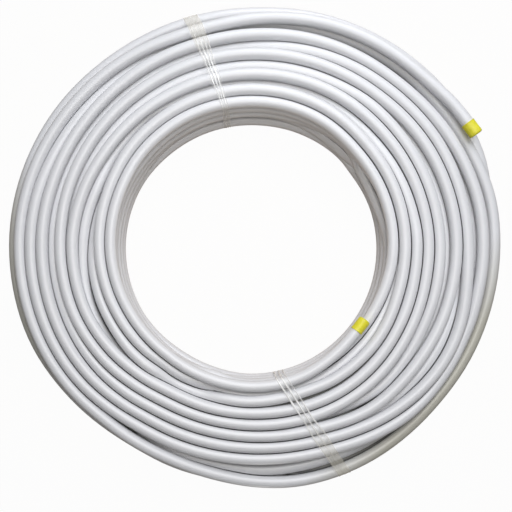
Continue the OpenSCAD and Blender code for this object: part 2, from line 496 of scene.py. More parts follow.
    def gather(self, parts: list[Stretch], place: np.ndarray) -> dict[str, Course]:
        """Settled stretches joined again into whole runs.

        Args:
            parts: the stretches, in the order of place's columns.
            place: settled radius and height of every stretch at every station.

        Returns:
            The courses by their runs' names, both pipe ends with their straight tips.
        """
        found: dict[str, Course] = {}
        for i, part in enumerate(parts):
            angle = np.radians(part.stations * WHOLE_TURN / self.stations)
            radius, height = place[part.stations, i, 0], place[part.stations, i, 1]
            points = np.stack([radius * np.cos(angle), radius * np.sin(angle), height], axis=1) * MM
            before = found.get(part.run.name, Course(part.run, points[:0]))
            found[part.run.name] = replace(before, points=np.concatenate([before.points, points]))
        found = {name: course.eased() for name, course in found.items()}
        found["outer_run"] = found["outer_run"].tipped(self.outer_tip, at_start=True)
        found["inner_run"] = found["inner_run"].tipped(self.inner_tip, at_start=False)
        return found


@dataclass(frozen=True)
class Nooks:
    """How near each point of the pipe lies to the next turn, kept as the attribute Nook."""

    courses: tuple[Course, ...]
    pipe_r: float
    far: float = 0.02
    stacked: float = 0.0012
    absent_r: float = 9.0

    def turns(self) -> list[tuple[np.ndarray, np.ndarray, np.ndarray]]:
        """Direction in degrees, radius and height along every run, directions always rising."""
        found = []
        for course in self.courses:
            points = course.closed()
            direction = np.degrees(np.unwrap(np.arctan2(points[:, 1], points[:, 0])))
            order = slice(None, None, 1 if direction[-1] > direction[0] else -1)
            radius = np.hypot(points[:, 0], points[:, 1])
            found.append((direction[order], radius[order], points[order, 2]))
        return found

    def mark(self, mesh: bpy.types.Mesh) -> None:
        """Stores the clear distance in metres from each vertex to the nearest turn but its own.

        A turn above or below counts as a little farther off than one beside, so that the painted
        shade that the pipe's material puts in the grooves is weaker there.

        Args:
            mesh: the pipe's mesh.
        """
        place = np.empty(len(mesh.vertices) * 3)
        mesh.vertices.foreach_get("co", place)
        place = place.reshape(-1, 3)
        angle = np.degrees(np.arctan2(place[:, 1], place[:, 0])) % WHOLE_TURN
        reach = np.hypot(place[:, 0], place[:, 1])
        own, other = np.full(len(place), self.far), np.full(len(place), self.far)
        away = {"left": self.absent_r, "right": self.absent_r}
        for direction, radius, height in self.turns():
            first, last = direction[0] // WHOLE_TURN, direction[-1] // WHOLE_TURN
            for turn in range(int(first), int(last) + 1):
                at = angle + WHOLE_TURN * turn
                across = np.interp(at, direction, radius, **away) - reach
                upward = np.interp(at, direction, height) - place[:, 2]
                clear = np.hypot(across, upward) - self.pipe_r
                clear += self.stacked * (upward / self.pipe_r) ** 2
                other = np.minimum(other, np.maximum(own, clear))
                own = np.minimum(own, clear)
        marked = mesh.attributes.new("Nook", "FLOAT", "POINT")
        marked.data.foreach_set("value", other)


@dataclass(frozen=True)
class Wiring:
    """Short calls that put nodes in a tree and link them as they are made."""

    tree: bpy.types.NodeTree

    def sockets(self, side: str, **kinds: str) -> None:
        """Gives a group its own sockets.

        Args:
            side: INPUT or OUTPUT.
            kinds: kind of each socket by its name, with spaces written as underscores.
        """
        for name, kind in kinds.items():
            plain = name.replace("_", " ")
            self.tree.interface.new_socket(plain, in_out=side, socket_type="NodeSocket" + kind)

    def feed(self, socket: bpy.types.NodeSocket, value: object) -> None:
        """Links an input from another socket, or sets it to a plain value.

        Args:
            socket: the input.
            value: the socket to link from, or the plain value.
        """
        if isinstance(value, bpy.types.NodeSocket):
            self.tree.links.new(value, socket)
        else:
            socket.default_value = value

    def node(self, kind: str, *feeds: object, **values: object) -> bpy.types.Node:
        """A new node with its properties set, and its inputs set or linked.

        Args:
            kind: the node's type.
            feeds: what the first inputs take, in order: a plain value, or a socket to link from.
            values: properties by name, or what other inputs take, with spaces as underscores.

        Returns:
            The node.
        """
        made = self.tree.nodes.new(kind)
        for name, value in values.items():
            if hasattr(made, name):
                setattr(made, name, value)
            else:
                self.feed(made.inputs[name.replace("_", " ")], value)
        for socket, value in zip(made.inputs, feeds):
            self.feed(socket, value)
        return made

    def math(self, operation: str, *feeds: object) -> bpy.types.NodeSocket:
        """Result of one operation on numbers or sockets."""
        return self.node("ShaderNodeMath", *feeds, operation=operation).outputs[0]

    def ramp(self, value: bpy.types.NodeSocket, between: Span = (0.0, 1.0),
             onto: tuple[object, object] = (0.0, 1.0), **properties: str) -> bpy.types.NodeSocket:
        """A value brought from one span onto another, and kept inside it.

        Args:
            value: the value.
            between: the span that it is taken from.
            onto: the span that it is brought onto, as numbers or sockets.
            properties: properties of the node.

        Returns:
            The result.
        """
        return self.node(
            "ShaderNodeMapRange", **properties, Value=value,
            From_Min=between[0], From_Max=between[1], To_Min=onto[0], To_Max=onto[1],
        ).outputs["Result"]

    def blend(self, share: bpy.types.NodeSocket, first: object,
              second: object) -> bpy.types.NodeSocket:
        """Colour between two others: the first where the share is 0, the second where it is 1."""
        mix = self.node("ShaderNodeMix", data_type="RGBA", Factor=share, A=first, B=second)
        return mix.outputs["Result"]

    def attribute(self, name: str, output: str) -> bpy.types.NodeSocket:
        """One output of an attribute of the mesh."""
        return self.node("ShaderNodeAttribute", attribute_name=name).outputs[output]

    def place(self) -> bpy.types.NodeSocket:
        """Place on the piece, in metres in the part's own frame."""
        return self.node("ShaderNodeTexCoord").outputs["Object"]

    def reach(self, place: bpy.types.NodeSocket) -> bpy.types.NodeSocket:
        """Distance from the coil's axis.

        Args:
            place: place on the piece, in metres.

        Returns:
            The distance, in metres.
        """
        level = self.node("ShaderNodeVectorMath", place, (1.0, 1.0, 0.0), operation="MULTIPLY")
        length = self.node("ShaderNodeVectorMath", level.outputs["Vector"], operation="LENGTH")
        return length.outputs["Value"]

    def lean(self, place: bpy.types.NodeSocket, side: Place) -> bpy.types.NodeSocket:
        """How far a place lies towards one side of the coil, in metres."""
        product = self.node("ShaderNodeVectorMath", place, side, operation="DOT_PRODUCT")
        return product.outputs["Value"]

    def shade(self, **values: object) -> None:
        """Sets or links inputs of the material's shader.

        Args:
            values: what the inputs take, by name with spaces as underscores.
        """
        inputs = self.tree.nodes["Principled BSDF"].inputs
        for name, value in values.items():
            self.feed(inputs[name.replace("_", " ")], value)


def blank_material(name: str) -> tuple[bpy.types.Material, Wiring]:
    """A new material that has only the plain shader.

    Args:
        name: name of the material.

    Returns:
        The material and the wiring of its tree.
    """
    material = bpy.data.materials.new(name)
    material.use_nodes = True
    return material, Wiring(material.node_tree)


def placed(name: str, data: bpy.types.ID) -> bpy.types.Object:
    """A new object in the scene.

    Args:
        name: name of the object.
        data: the mesh, curve, lamp or camera that it holds.

    Returns:
        The object.
    """
    made = bpy.data.objects.new(name, data)
    bpy.context.scene.collection.objects.link(made)
    return made


def stand_in(piece: bpy.types.Object, node_name: str) -> bpy.types.Object:
    """Makes a piece ride on the body in place of a CAD node.

    Args:
        piece: the piece.
        node_name: the CAD node.

    Returns:
        The same piece.
    """
    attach(piece, BODY)
    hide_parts(node_name)
    return piece


def smoothed(shape: bmesh.types.BMesh, name: str, finish: bpy.types.Material) -> bpy.types.Object:
    """A smooth object made of a finished shape, which is used up.

    Args:
        shape: the shape, in metres in the part's own frame.
        name: name of the object and of its mesh.
        finish: material of the whole mesh.

    Returns:
        The object, in the scene.
    """
    bmesh.ops.recalc_face_normals(shape, faces=shape.faces)
    for face in shape.faces:
        face.smooth = True
    mesh = bpy.data.meshes.new(name)
    shape.to_mesh(mesh)
    shape.free()
    mesh.materials.append(finish)
    return placed(name, mesh)


@dataclass
class SweepTree:
    """Geometry Nodes tree that sweeps a round section along curves."""

    name: str = "Pipe Sweep"
    tree: bpy.types.NodeTree = field(init=False)

    def __post_init__(self) -> None:
        """Builds the tree once."""
        self.tree = bpy.data.node_groups.new(self.name, "GeometryNodeTree")
        wires = Wiring(self.tree)
        wires.sockets(
            "INPUT", Geometry="Geometry", Pipe_Radius="Float", Facets="Int", Finish="Material")
        wires.sockets("OUTPUT", Geometry="Geometry")
        given = wires.node("NodeGroupInput").outputs
        radius = given["Pipe Radius"]
        level = wires.node("GeometryNodeSetCurveNormal", mode="Z_UP", Curve=given["Geometry"])
        route, along = self.measured(wires, level, "Along", "Length")
        ring = wires.node(
            "GeometryNodeCurvePrimitiveCircle", Resolution=given["Facets"], Radius=radius)
        section, around = self.measured(wires, ring, "Around", "Factor")
        sweep = wires.node(
            "GeometryNodeCurveToMesh", Curve=route, Profile_Curve=section, Fill_Caps=True)
        turn = wires.math("MULTIPLY", around, math.tau)
        across = wires.math("MULTIPLY", wires.math("COSINE", turn), radius)
        upward = wires.math("MULTIPLY", wires.math("SINE", turn), radius)
        run = wires.node("ShaderNodeCombineXYZ", along, across, upward)
        store = wires.node(
            "GeometryNodeStoreNamedAttribute", data_type="FLOAT_VECTOR", domain="POINT",
            Geometry=sweep.outputs["Mesh"], Name="Run", Value=run.outputs["Vector"])
        made = store.outputs["Geometry"]
        for kind in ("GeometryNodeSetShadeSmooth", "GeometryNodeRealizeInstances"):
            made = wires.node(kind, Geometry=made).outputs["Geometry"]
        dress = wires.node("GeometryNodeSetMaterial", Geometry=made, Material=given["Finish"])
        wires.node("NodeGroupOutput", dress.outputs["Geometry"])

    def measured(self, wires: Wiring, curve: bpy.types.Node, name: str,
                 measure: str) -> tuple[bpy.types.NodeSocket, bpy.types.NodeSocket]:
        """Keeps a measure along a curve for the mesh that will be made of it.

        Args:
            wires: wiring of the tree.
            curve: the node that gives the curve.
            name: name of the kept measure.
            measure: Length or Factor.

        Returns:
            The curve and the kept measure.
        """
        keep = wires.node("GeometryNodeCaptureAttribute")
        keep.capture_items.new("FLOAT", name)
        wires.feed(keep.inputs["Geometry"], curve.outputs["Curve"])
        spline = wires.node("GeometryNodeSplineParameter")
        wires.feed(keep.inputs[name], spline.outputs[measure])
        return keep.outputs["Geometry"], keep.outputs[name]

    def key(self, name: str) -> str:
        """Identifier of the tree's input of that name."""
        return next(
            item.identifier for item in self.tree.interface.items_tree
            if item.item_type == "SOCKET" and item.in_out == "INPUT" and item.name == name
        )

    def sweep(self, name: str, courses: list[Course], radius: float, facets: int,
              finish: bpy.types.Material) -> bpy.types.Object:
        """Sweeps the section along courses into one plain mesh object.

        Args:
            name: name of the new object.
            courses: the centre lines.
            radius: radius of the section, in metres.
            facets: sides of the section.
            finish: material of the whole mesh.

        Returns:
            The object, in the scene, with its place in its mesh.
        """
        curve = bpy.data.curves.new(name + "_route", "CURVE")
        curve.dimensions = "3D"
        for course in courses:
            points = course.points
            spline = curve.splines.new("POLY")
            spline.points.add(len(points) - 1)
            spline.points.foreach_set("co", np.c_[points, np.ones(len(points))].ravel())
            spline.use_cyclic_u = course.run.ring
        guide = placed(name + "_guide", curve)
        modifier = guide.modifiers.new("Sweep", "NODES")
        modifier.node_group = self.tree
        modifier[self.key("Pipe Radius")] = radius
        modifier[self.key("Facets")] = facets
        modifier[self.key("Finish")] = finish
        view = bpy.context.evaluated_depsgraph_get()
        mesh = bpy.data.meshes.new_from_object(guide.evaluated_get(view), depsgraph=view)
        guide.modifiers.remove(modifier)
        bpy.data.objects.remove(guide)
        mesh.name = name
        return placed(name, mesh)


@dataclass(frozen=True)
class Grain:
    """How coarse a finish's mottle is, and how far it raises the surface."""

    cloud: float
    streak: float
    stretch: Place
    strength: float
    depth: float


@dataclass
class MottleGroup:
    """Shader group: soft cloudy variation and fine lengthwise streaks, as masks and a height."""

    name: str = "Mottle"
    cloud_detail: float = 3.0
    cloud_rough: float = 0.55
    streak_detail: float = 4.0
    streak_rough: float = 0.6
    streak_from: Span = (0.56, 0.74)
    streak_height: float = 0.6
    tree: bpy.types.NodeTree = field(init=False)

    def __post_init__(self) -> None:
        """Builds the group once."""
        self.tree = bpy.data.node_groups.new(self.name, "ShaderNodeTree")
        wires = Wiring(self.tree)
        wires.sockets(
            "INPUT", Vector="Vector", Cloud_Scale="Float", Streak_Scale="Float", Stretch="Vector")
        wires.sockets("OUTPUT", Cloud="Float", Streak="Float", Height="Float")
        given = wires.node("NodeGroupInput").outputs
        cloud = wires.node(
            "ShaderNodeTexNoise", Vector=given["Vector"], Scale=given["Cloud Scale"],
            Detail=self.cloud_detail, Roughness=self.cloud_rough).outputs["Fac"]
        drawn = wires.node(
            "ShaderNodeVectorMath", given["Vector"], given["Stretch"], operation="MULTIPLY")
        streak = wires.node(
            "ShaderNodeTexNoise", Vector=drawn.outputs["Vector"], Scale=given["Streak Scale"],
            Detail=self.streak_detail, Roughness=self.streak_rough).outputs["Fac"]
        height = wires.math("MULTIPLY_ADD", streak, self.streak_height, cloud)
        wires.node("NodeGroupOutput", cloud, wires.ramp(streak, self.streak_from), height)

    def put(self, wires: Wiring, vector: bpy.types.NodeSocket,
            grain: Grain) -> bpy.types.NodeOutputs:
        """Places the group in a material, and raises the surface with its height.

        Args:
            wires: wiring of the material.
            vector: where on the surface the pattern is read.
            grain: the material's own values.

        Returns:
            The group's outputs there.
        """
        spots = wires.node(
            "ShaderNodeGroup", node_tree=self.tree, Vector=vector, Cloud_Scale=grain.cloud,
            Streak_Scale=grain.streak, Stretch=grain.stretch).outputs
        bump = wires.node(
            "ShaderNodeBump", Strength=grain.strength, Distance=grain.depth,
            Height=spots["Height"])
        wires.shade(Normal=bump.outputs["Normal"])
        return spots


@dataclass(frozen=True)
class PipeFinish:
    """White polyethylene skin: satin, a little uneven, with faint marks along the pipe.

    Painted shade darkens the narrow grooves, most towards the front right. Painted olive shade lies
    on the outer side of the upper outermost turn, towards the front right and towards the left.
    """

    name: str = "white_pipe_skin"
    light: Colour = (0.70, 0.705, 0.73, 1.0)
    shade: Colour = (0.66, 0.665, 0.69, 1.0)
    mark: Colour = (0.50, 0.50, 0.50, 1.0)
    marked: float = 0.10
    grain: Grain = Grain(
        cloud=9.0, streak=260.0, stretch=(0.02, 1.0, 1.0), strength=0.25, depth=0.00012)
    rough: Span = (0.30, 0.42)
    ior: float = 1.5
    specular: float = 0.65
    # Painted shade: near-black colour in the narrow grooves between turns, strongest towards the
    # front right.
    groove_shade: Colour = (0.035, 0.035, 0.038, 1.0)
    groove_shade_clearance: Span = (0.0008, 0.0023)
    groove_shade_side: Place = (0.64, -0.77, 0.0)
    groove_shade_from: Span = (-0.28, 0.02)
    least_groove_shade: float = 0.05
    # Painted shade: olive darkening of the upper outermost turn's outer side, towards the front
    # right and the left.
    outer_shade: Colour = (0.42, 0.405, 0.335, 1.0)
    outer_shade_reach: Span = (0.338, 0.349)
    outer_shade_height: Span = (0.046, 0.056)
    most_outer_shade: float = 0.85
    front_right_shade_side: Place = (0.788, -0.616, 0.0)
    front_right_shade_from: Span = (0.27, 0.335)
    left_shade_side: Place = (-0.985, -0.174, 0.0)
    left_shade_from: Span = (0.30, 0.345)
    left_shade_share: float = 0.8

    def build(self, mottle: MottleGroup) -> bpy.types.Material:
        """Makes the material.

        Args:
            mottle: the shared variation group.

        Returns:
            The material.
        """
        material, wires = blank_material(self.name)
        place = wires.place()
        spots = mottle.put(wires, wires.attribute("Run", "Vector"), self.grain)
        skin = wires.blend(spots["Cloud"], self.shade, self.light)
        worn = wires.blend(wires.math("MULTIPLY", spots["Streak"], self.marked), skin, self.mark)
        # Painted shade: olive on the outermost turn, then near-black in the narrow grooves.
        outer_shaded = wires.blend(self.outer_shade_mask(wires, place), worn, self.outer_shade)
        wires.shade(
            Base_Color=wires.blend(self.groove_shade_mask(wires, place), outer_shaded, self.groove_shade),
            Roughness=wires.ramp(spots["Cloud"], onto=self.rough),
            IOR=self.ior, Specular_IOR_Level=self.specular)
        return material

    def outer_shade_mask(self, wires: Wiring, place: bpy.types.NodeSocket) -> bpy.types.NodeSocket:
        """Mask of the painted olive shade on the upper outermost turn.

        Args:
            wires: wiring of the material.
            place: place on the pipe.

        Returns:
            The mask, from 0 to 1.
        """
        outermost = wires.ramp(wires.reach(place), self.outer_shade_reach, (0.0, self.most_outer_shade))
        front_right_shade = wires.ramp(wires.lean(place, self.front_right_shade_side), self.front_right_shade_from)
        left_shade = wires.ramp(
            wires.lean(place, self.left_shade_side), self.left_shade_from, (0.0, self.left_shade_share))
        sides = wires.math("MULTIPLY", outermost, wires.math("MAXIMUM", front_right_shade, left_shade))
        height = wires.node("ShaderNodeSeparateXYZ", place).outputs["Z"]
        return wires.math("MULTIPLY", sides, wires.ramp(height, self.outer_shade_height))

    def groove_shade_mask(self, wires: Wiring, place: bpy.types.NodeSocket) -> bpy.types.NodeSocket:
        """Mask of the painted shade in the narrow grooves.

        Args:
            wires: wiring of the material.
            place: place on the pipe.

        Returns:
            The mask, from 0 to 1.
        """
        # Painted shade: darkest where the next turn is nearest, strongest towards the front right.
        narrow = wires.ramp(
            wires.attribute("Nook", "Fac"), self.groove_shade_clearance, (1.0, 0.0),
            interpolation_type="SMOOTHSTEP")
        lean = wires.lean(place, self.groove_shade_side)
        side_shade = wires.ramp(lean, self.groove_shade_from, (self.least_groove_shade, 1.0))
        return wires.math("MULTIPLY", narrow, side_shade)


@dataclass(frozen=True)
class CapFinish:
    """Soft yellow vinyl of the blind caps, slightly waxy and a little uneven."""

    light: Colour = (0.80, 0.74, 0.045, 1.0)
    shade: Colour = (0.62, 0.57, 0.02, 1.0)
    grain: Grain = Grain(
        cloud=160.0, streak=520.0, stretch=(1.0, 1.0, 1.0), strength=0.3, depth=0.0002)
    rough: Span = (0.34, 0.52)
    glow: float = 0.15
    glow_colour: Place = (0.9, 0.7, 0.1)
    glow_depth: float = 0.002

    def build(self, mottle: MottleGroup) -> bpy.types.Material:
        """Makes the material.

        Args:
            mottle: the shared variation group.

        Returns:
            The material.
        """
        material, wires = blank_material("yellow_cap_vinyl")
        spots = mottle.put(wires, wires.place(), self.grain)
        wires.shade(
            Base_Color=wires.blend(spots["Cloud"], self.shade, self.light),
            Roughness=wires.ramp(spots["Cloud"], onto=self.rough), Subsurface_Weight=self.glow,
            Subsurface_Radius=self.glow_colour, Subsurface_Scale=self.glow_depth)
        return material


@dataclass(frozen=True)
class TapeFinish:
    """Clear film drawn into bright creases along its length, yellowed towards the outside, and
    darkened by painted shade where it is seen edge-on.
    """

    film: Colour = (0.93, 0.93, 0.90, 1.0)
    crease: Colour = (0.97, 0.97, 0.97, 1.0)
    aged: Colour = (0.92, 0.88, 0.76, 1.0)
    # Painted shade: the film takes this dark colour where it is seen edge-on, over the outermost
    # turn.
    edge: Colour = (0.22, 0.21, 0.15, 1.0)
    grain: Grain = Grain(
        cloud=60.0, streak=260.0, stretch=(0.2, 1.0, 1.0), strength=0.5, depth=0.0004)
    rough: float = 0.2
    aged_reach: Span = (0.25, 0.312)
    aged_crease: float = 0.06
    patch_from: Span = (0.35, 0.6)
    least_patch: float = 0.55
    edge_on_shade_from: Span = (0.85, 1.0)
    most_edge_on_shade: float = 0.7
    haze_reach: Span = (0.285, 0.332)
    haze: Span = (0.10, 0.34)
    crease_haze: float = 0.97

    def build(self, mottle: MottleGroup) -> bpy.types.Material:
        """Makes the material, whose creases follow the strap's own lengthwise map.

        Args:
            mottle: the shared variation group.

        Returns:
            The material.
        """
        material, wires = blank_material("clear_tape_film")
        spots = mottle.put(wires, wires.attribute("Strip", "Vector"), self.grain)
        reach = wires.reach(wires.place())
        outward = wires.ramp(reach, self.aged_reach)
        fresh = wires.ramp(outward, onto=(1.0, self.aged_crease))
        bright = wires.math("MULTIPLY", wires.attribute("Pleat", "Fac"), fresh)
        patchy = wires.ramp(spots["Cloud"], self.patch_from, (self.least_patch, 1.0))
        streak = wires.math("MULTIPLY", bright, patchy)
        colour = wires.blend(streak, wires.blend(outward, self.film, self.aged), self.crease)
        # Painted shade where the film is seen edge-on; the same mask also makes the film more
        # opaque there.
        slant = wires.node("ShaderNodeLayerWeight", Blend=0.5).outputs["Facing"]
        edge_on = wires.ramp(slant, self.edge_on_shade_from, (0.0, self.most_edge_on_shade))
        haze = wires.ramp(reach, self.haze_reach, self.haze)
        clear = wires.ramp(streak, onto=(haze, self.crease_haze))
        wires.shade(
            Base_Color=wires.blend(edge_on, colour, self.edge),
            Alpha=wires.math("MAXIMUM", clear, edge_on), Roughness=self.rough)
        return material


@dataclass(frozen=True)
class PipeCoil:
    """The pipe itself, swept along its settled centre lines."""

    courses: tuple[Course, ...]
    pipe_r: float
    top_facets: int = 28
    buried_facets: int = 18

    def group(self, name: str, courses: list[Course], facets: int, tree: SweepTree,
              finish: bpy.types.Material) -> bpy.types.Object:
        """Sweeps some of the courses into one piece of the coil.

        Args:
            name: name of the piece.
            courses: its centre lines.
            facets: sides of the pipe's section.
            tree: the sweep.
            finish: the pipe's material.

        Returns:
            The piece, riding on the body.
        """
        piece = tree.sweep(name, courses, self.pipe_r, facets, finish)
        Nooks(self.courses, self.pipe_r).mark(piece.data)
        return stand_in(piece, "pipe_coil")

    def build(self, tree: SweepTree, finish: bpy.types.Material,
              shaded_skin: bpy.types.Material) -> list[bpy.types.Object]:
        """Makes the pieces of the coil.

        Args:
            tree: the sweep.
            finish: the pipe's material.
            shaded_skin: a darkened copy of the pipe's material, painted shade on the turns that
                only show in the gaps.

        Returns:
            The pieces.
        """
        shown = [course for course in self.courses if course.run.shelf is Shelf.SHOWN]
        bed = [course for course in self.courses if course.run.shelf is Shelf.BED]
        firm = [course for course in self.courses if course.run.shelf is Shelf.WALL]
        foot = [course for course in firm if course.run.name.startswith("foot")]
        wall = [course for course in firm if not course.run.name.startswith("foot")]
        return [
            self.group("pipe_top_turns", shown, self.top_facets, tree, finish),
            self.group("pipe_wall_turns", wall, self.buried_facets, tree, finish),
            self.group("pipe_bedded_turns", bed, self.buried_facets, tree, shaded_skin),
            self.group("pipe_bottom_turns", foot, self.buried_facets, tree, finish),
        ]


@dataclass(frozen=True)
class EndCap:
    """Blind vinyl cap pushed over a straight tip of the pipe, in millimetres on its own axis.

    tip is the pipe's end, in metres, and heading points out of it. crown holds the closed end as
    shares of the outer radius and heights, and swells how far the side stands out at shares of the
    length. rim and mouth hold how far the lip stands out from the wall, outside and inside, and how
    far short of the length. inner_edge is how far the bottom of the bore is rounded, inwards and
    upwards.
    """

    name: str
    node_name: str
    tip: np.ndarray
    heading: np.ndarray
    length: float = 21.0
    pipe_r: float = 8.0
    clear: float = 0.1
    wall: float = 0.6
    edge: float = 2.4
    edge_steps: int = 6
    around: int = 64
    crown: tuple[Span, ...] = ((0.0, -0.15), (0.45, -0.12), (0.75, -0.03))
    swells: tuple[Span, ...] = ((0.2, 0.06), (0.4, 0.0), (0.6, -0.04), (0.8, 0.0), (0.9, 0.05))
    rim: tuple[Span, ...] = ((0.22, 1.1), (0.32, 0.7), (0.28, 0.3), (0.05, 0.05), (-0.35, 0.0))
    mouth: tuple[Span, ...] = ((0.02, 0.25), (0.0, 1.0))
    inner_edge: Span = (0.3, 0.6)
    oval: float = 0.004
    oval_turn: float = 0.4
    dents: float = 0.003
    dents_twist: float = 0.3

    def profile(self) -> list[Span]:
        """Section of the cap as radius and height, from outside centre to inside centre."""
        inner = self.pipe_r + self.clear
        outer = inner + self.wall
        rows = [(share * outer, height) for share, height in self.crown]
        for i in range(self.edge_steps + 1):
            turn = math.radians(90.0 * i / self.edge_steps)
            across, down = self.edge * math.sin(turn), self.edge * math.cos(turn)
            rows.append((outer - self.edge + across, self.edge - down))
        rows += [(outer + swell, share * self.length) for share, swell in self.swells]
        rows += [(outer + out, self.length - short) for out, short in self.rim]
        rows += [(inner + out, self.length - short) for out, short in self.mouth]
        inset, rise = self.inner_edge
        rows += [(inner, self.wall + rise), (self.pipe_r - inset, self.wall), (0.0, self.wall)]
        return rows

    def ring(self, radius: float, height: float) -> list[Vector]:
        """Points round the cap at one row of its section, the outside a little out of round.

        Args:
            radius: radius of the row.
            height: distance of the row from the closed end.

        Returns:
            The points, or one point on the axis where the radius is 0.
        """
        if radius == 0.0:
            return [Vector((0.0, 0.0, height))]
        points = []
        for i in range(self.around):
            angle = math.tau * i / self.around
            dent = 1.0
            if radius >= self.pipe_r + 2 * self.clear:
                dent += self.oval * math.sin(2 * angle + self.oval_turn)
                dent += self.dents * math.sin(5 * angle + self.dents_twist * height)
            across = radius * dent
            points.append(Vector((across * math.cos(angle), across * math.sin(angle), height)))
        return points

    def build(self, finish: bpy.types.Material) -> bpy.types.Object:
        """Makes the cap on its tip.

        Args:
            finish: the cap's material.

        Returns:
            The cap, riding on the body in place of its CAD node.
        """
        heading = Vector(self.heading)
        end = Vector(self.tip) + heading * (self.wall + self.clear) * MM
        turn = Vector((0.0, 0.0, -1.0)).rotation_difference(heading).to_matrix().to_4x4()
        place = Matrix.Translation(end) @ turn @ Matrix.Scale(MM, 4)
        shape = bmesh.new()
        rings = [
            [shape.verts.new(place @ point) for point in self.ring(radius, height)]
            for radius, height in self.profile()
        ]
        for a, b in zip(rings, rings[1:]):
            for i in range(self.around):
                j = (i + 1) % self.around
                corners = [a[i % len(a)], a[j % len(a)], b[j % len(b)], b[i % len(b)]]
                shape.faces.new(list(dict.fromkeys(corners)))
        return stand_in(smoothed(shape, self.name, finish), self.node_name)


@dataclass(frozen=True)
class TapeStrap:
    """Strap of clear film drawn tight round the winding, with creases along its length.

    It crosses the winding at a direction, turned by its skew, both in degrees, and widths gives its
    width by the distance from the coil's axis, in millimetres. wanders holds how far the creases
    stray sideways and how quickly along the strap, and fading how far they fade, how quickly along
    it and how much later across it.
    """

    name: str
    node_name: str
    crossing: float
    skew: float
    courses: tuple[Course, ...]
    widths: tuple[Span, ...]
    clear: float = 0.25
    crease: float = 0.35
    middle_r: float = 279.0
    half_winding: float = 140.0
    pipe_r: float = 8.0
    pipe_facets: int = 48
    columns: int = 41
    rows: int = 240
    floor_gap: float = 0.05
    pleats: float = 3.7
    phase: float = 0.0
    wanders: tuple[Span, Span] = ((0.03, 23.0), (0.015, 61.0))
    fading: Place = (0.25, 47.0, 9.0)
    boldness: float = 1.9
    sharpness: float = 1.5

    def section(self, offset: float) -> np.ndarray:
        """Outline of the film in the upright plane at one offset across the strap.

        Args:
            offset: distance from the strap's own middle, in millimetres.

        Returns:
            Points in metres round the winding, evenly spaced, from the eye's foot outwards.
        """
        crossing, lean = math.radians(self.crossing), math.radians(self.crossing + self.skew)
        ahead = np.array([math.cos(lean), math.sin(lean)])
        aside = np.array([-ahead[1], ahead[0]])
        start = self.middle_r * np.array([math.cos(crossing), math.sin(crossing)]) + offset * aside
        marks = []
        for course in self.courses:
            points = course.closed() / MM
            flat = points[:, :2] - start
            side, reach = flat @ aside, flat @ ahead
            cut = np.nonzero((side[:-1] * side[1:] <= 0.0) & (side[:-1] != side[1:]))[0]
            share = side[cut] / (side[cut] - side[cut + 1])
            place = reach[cut] + share * (reach[cut + 1] - reach[cut])
            height = points[cut, 2] + share * (points[cut + 1, 2] - points[cut, 2])
            near = np.abs(place) < self.half_winding
            marks.append(np.stack([place[near], height[near]], axis=1))
        turn = np.linspace(0.0, math.tau, self.pipe_facets, endpoint=False)
        grow = self.pipe_r + self.clear
        stretch = grow / math.cos(math.radians(self.skew))
        circle = np.stack([np.cos(turn) * stretch, np.sin(turn) * grow], axis=1)
        cloud = (np.concatenate(marks)[:, None, :] + circle[None, :, :]).reshape(-1, 2)
        even = self.even(self.hull(cloud))
        level = start + even[:, :1] * ahead
        return np.concatenate([level, even[:, 1:]], axis=1) * MM

    def narrowed(self, across: np.ndarray) -> np.ndarray:
        """Lengthwise lines of the film, gathered in where the strap is narrower.

        Args:
            across: places across the strap, from -0.5 to 0.5.

        Returns:
            Points in metres, by line across the strap and row along it.
        """
        radii, widths = np.array(self.widths).T
        offsets = across * widths.max()
        grid = np.array([self.section(offset) for offset in offsets])
        middle = grid[len(across) // 2]
        wanted = np.interp(np.hypot(middle[:, 0], middle[:, 1]) / MM, radii, widths)
        found = np.empty_like(grid)
        for row, width in enumerate(wanted):
            for axis in range(3):
                found[:, row, axis] = np.interp(across * width, offsets, grid[:, row, axis])
        return found

    def hull(self, cloud: np.ndarray) -> np.ndarray:
        """Convex outline of a cloud of points.

        Args:
            cloud: the points.

        Returns:
            The outline's corners, counter-clockwise.
        """
        order = cloud[np.lexsort((cloud[:, 1], cloud[:, 0]))]
        outline: list[np.ndarray] = []
        for half in (order, order[::-1]):
            start = len(outline)
            for point in half:
                while len(outline) - start >= 2:
                    a, b = outline[-2], outline[-1]
                    if (b[0] - a[0]) * (point[1] - a[1]) - (b[1] - a[1]) * (point[0] - a[0]) > 0:
                        break
                    outline.pop()
                outline.append(point)
            outline.pop()
        return np.array(outline)

    def even(self, hull: np.ndarray) -> np.ndarray:
        """An outline with its points evenly spaced.

        Args:
            hull: corners of the outline.

        Returns:
            The points, from the outline's foot at the eye.
        """
        first = int(np.argmin(hull[:, 0] + 0.5 * hull[:, 1]))
        loop = np.concatenate([np.roll(hull, -first, 0), hull[first][None]])
        step = np.linalg.norm(np.diff(loop, axis=0), axis=1)
        length = np.concatenate([[0.0], np.cumsum(step)])
        wanted = np.linspace(0.0, length[-1], self.rows, endpoint=False)
        return np.stack([np.interp(wanted, length, loop[:, i]) for i in range(2)], axis=1)

    def pleat(self, across: np.ndarray, along: np.ndarray) -> np.ndarray:
        """How far the film stands up in a crease.

        Args:
            across: places across the strap, from -0.5 to 0.5.
            along: distances along the strap, in metres.

        Returns:
            0 where the film lies flat and 1 on a crease's crest.
        """
        (wide, slow), (narrow, quick) = self.wanders
        wander = wide * np.sin(slow * along + self.phase) + narrow * np.sin(quick * along)
        wave = np.sin(math.tau * self.pleats * (across + wander) + self.phase)
        depth, rate, slant = self.fading
        fade = 1.0 - depth + depth * np.sin(rate * along + slant * across + self.phase)
        return np.clip(self.boldness * wave * fade, 0.0, 1.0) ** self.sharpness

